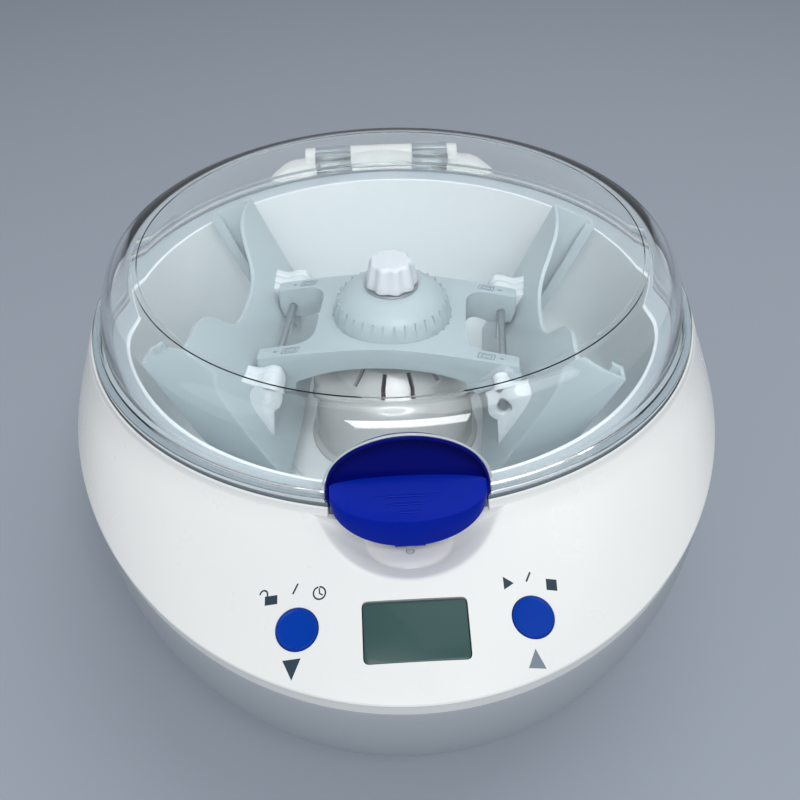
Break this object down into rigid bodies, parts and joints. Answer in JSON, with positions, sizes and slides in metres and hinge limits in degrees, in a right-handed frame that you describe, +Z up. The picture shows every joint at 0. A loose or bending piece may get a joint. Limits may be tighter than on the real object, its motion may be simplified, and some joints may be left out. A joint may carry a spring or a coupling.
{
  "type": "microplate centrifuge",
  "caption": "Benchtop microplate centrifuge with an egg-shaped housing, a clear hinged dome lid, a round bowl and a rotor with swinging plate carriers.",
  "frame": {"origin": "on the table, under the middle of the outline", "axes": "+Z up, -Y towards the user and the control panel, +Y towards the lid's hinge, +X to the user's right"},
  "size_m": [0.3, 0.353, 0.1587],
  "materials": {
    "top_shell": "white satin moulding",
    "base_shell": "pale grey satin moulding",
    "bowl": "pale grey moulding",
    "rubber": "matt black",
    "steel": "turned and polished",
    "motor_case": "black enamel",
    "motor_cover": "glossy white",
    "display": "grey-green liquid crystal behind a clear window",
    "dark_plastic": "black moulding",
    "circuit_board": "green solder mask",
    "button": "blue satin keycap",
    "lid": "clear polycarbonate",
    "knuckle": "clear grey moulding",
    "latch_cup": "deep blue moulding",
    "latch_grip": "blue satin moulding",
    "rotor": "pale blue-grey moulding",
    "carrier": "pale blue-grey powder coat",
    "knob": "white satin moulding"
  },
  "bodies": {
    "housing": {"top_shell": "top_shell", "base_tray": "base_shell", "foot_front_left": "rubber", "foot_front_right": "rubber", "foot_rear_left": "rubber", "foot_rear_right": "rubber", "shell_screw_left": "steel", "shell_screw_right": "steel", "bowl": "bowl", "rim_gasket": "rubber", "motor_body": "motor_case", "motor_plate": "steel", "motor_mount_1": "rubber", "motor_mount_2": "rubber", "motor_mount_3": "rubber", "motor_screw_1": "steel", "motor_screw_2": "steel", "motor_screw_3": "steel", "motor_cover": "motor_cover", "display_window": "display", "display_module": "dark_plastic", "control_board": "circuit_board", "lock_solenoid": "dark_plastic", "latch_strike": "steel", "power_board": "circuit_board", "power_jack": "dark_plastic", "switch_frame": "dark_plastic", "hinge_pin": "steel"},
    "lid": {"lid_dome": "lid", "lid_knuckle_left": "knuckle", "lid_knuckle_right": "knuckle", "latch_cup": "latch_cup", "latch_pin": "steel"},
    "latch": {"latch_lever": "latch_grip"},
    "lock": {"lock_plunger": "steel"},
    "key_left": {"button_left": "button"},
    "key_right": {"button_right": "button"},
    "power_switch": {"switch_rocker": "dark_plastic"},
    "rotor": {"motor_shaft": "steel", "rotor_collar": "steel", "rotor_yoke": "rotor", "hub_dome": "rotor", "knob_washer": "steel", "swing_rod_left": "steel", "swing_rod_right": "steel"},
    "clamp_knob": {"rotor_knob": "knob"},
    "plate_carrier_left": {"carrier_left": "carrier"},
    "plate_carrier_right": {"carrier_right": "carrier"}
  },
  "joints": [
    {"name": "lid_hinge", "type": "hinge", "parent": "housing", "child": "lid", "pos_m": [0, 0.1695, 0.128], "axis": [-1, 0, 0], "range_deg": [0, 95]},
    {"name": "latch_pivot", "type": "hinge", "parent": "lid", "child": "latch", "pos_m": [0, -0.112, 0.1232], "axis": [-1, 0, 0], "range_deg": [0, 20]},
    {"name": "lock_slide", "type": "slide", "parent": "housing", "child": "lock", "axis": [0, 0, 1], "range_m": [0, 0.0025]},
    {"name": "key_left_press", "type": "slide", "parent": "housing", "child": "key_left", "axis": [0.1225, 0.3393, -0.9327], "range_m": [0, 0.0012], "stiffness_N_per_m": 400},
    {"name": "key_right_press", "type": "slide", "parent": "housing", "child": "key_right", "axis": [-0.1225, 0.3393, -0.9327], "range_m": [0, 0.0012], "stiffness_N_per_m": 400},
    {"name": "switch_tilt", "type": "hinge", "parent": "housing", "child": "power_switch", "pos_m": [0.01, 0.139, 0.02], "axis": [1, 0, 0], "range_deg": [0, 16]},
    {"name": "rotor_spin", "type": "hinge", "parent": "housing", "child": "rotor", "pos_m": [0, 0.026, 0.1], "axis": [0, 0, 1], "continuous": true},
    {"name": "knob_turn", "type": "hinge", "parent": "rotor", "child": "clamp_knob", "pos_m": [0, 0.026, 0.13], "axis": [0, 0, 1], "range_deg": [0, 360]},
    {"name": "carrier_left_swing", "type": "hinge", "parent": "rotor", "child": "plate_carrier_left", "pos_m": [-0.05399, 0.03263, 0.0942], "axis": [0.1219, 0.9925, 0], "range_deg": [0, 22.5]},
    {"name": "carrier_right_swing", "type": "hinge", "parent": "rotor", "child": "plate_carrier_right", "pos_m": [0.05399, 0.01937, 0.0942], "axis": [-0.1219, -0.9925, 0], "range_deg": [0, 22.5]}
  ]
}
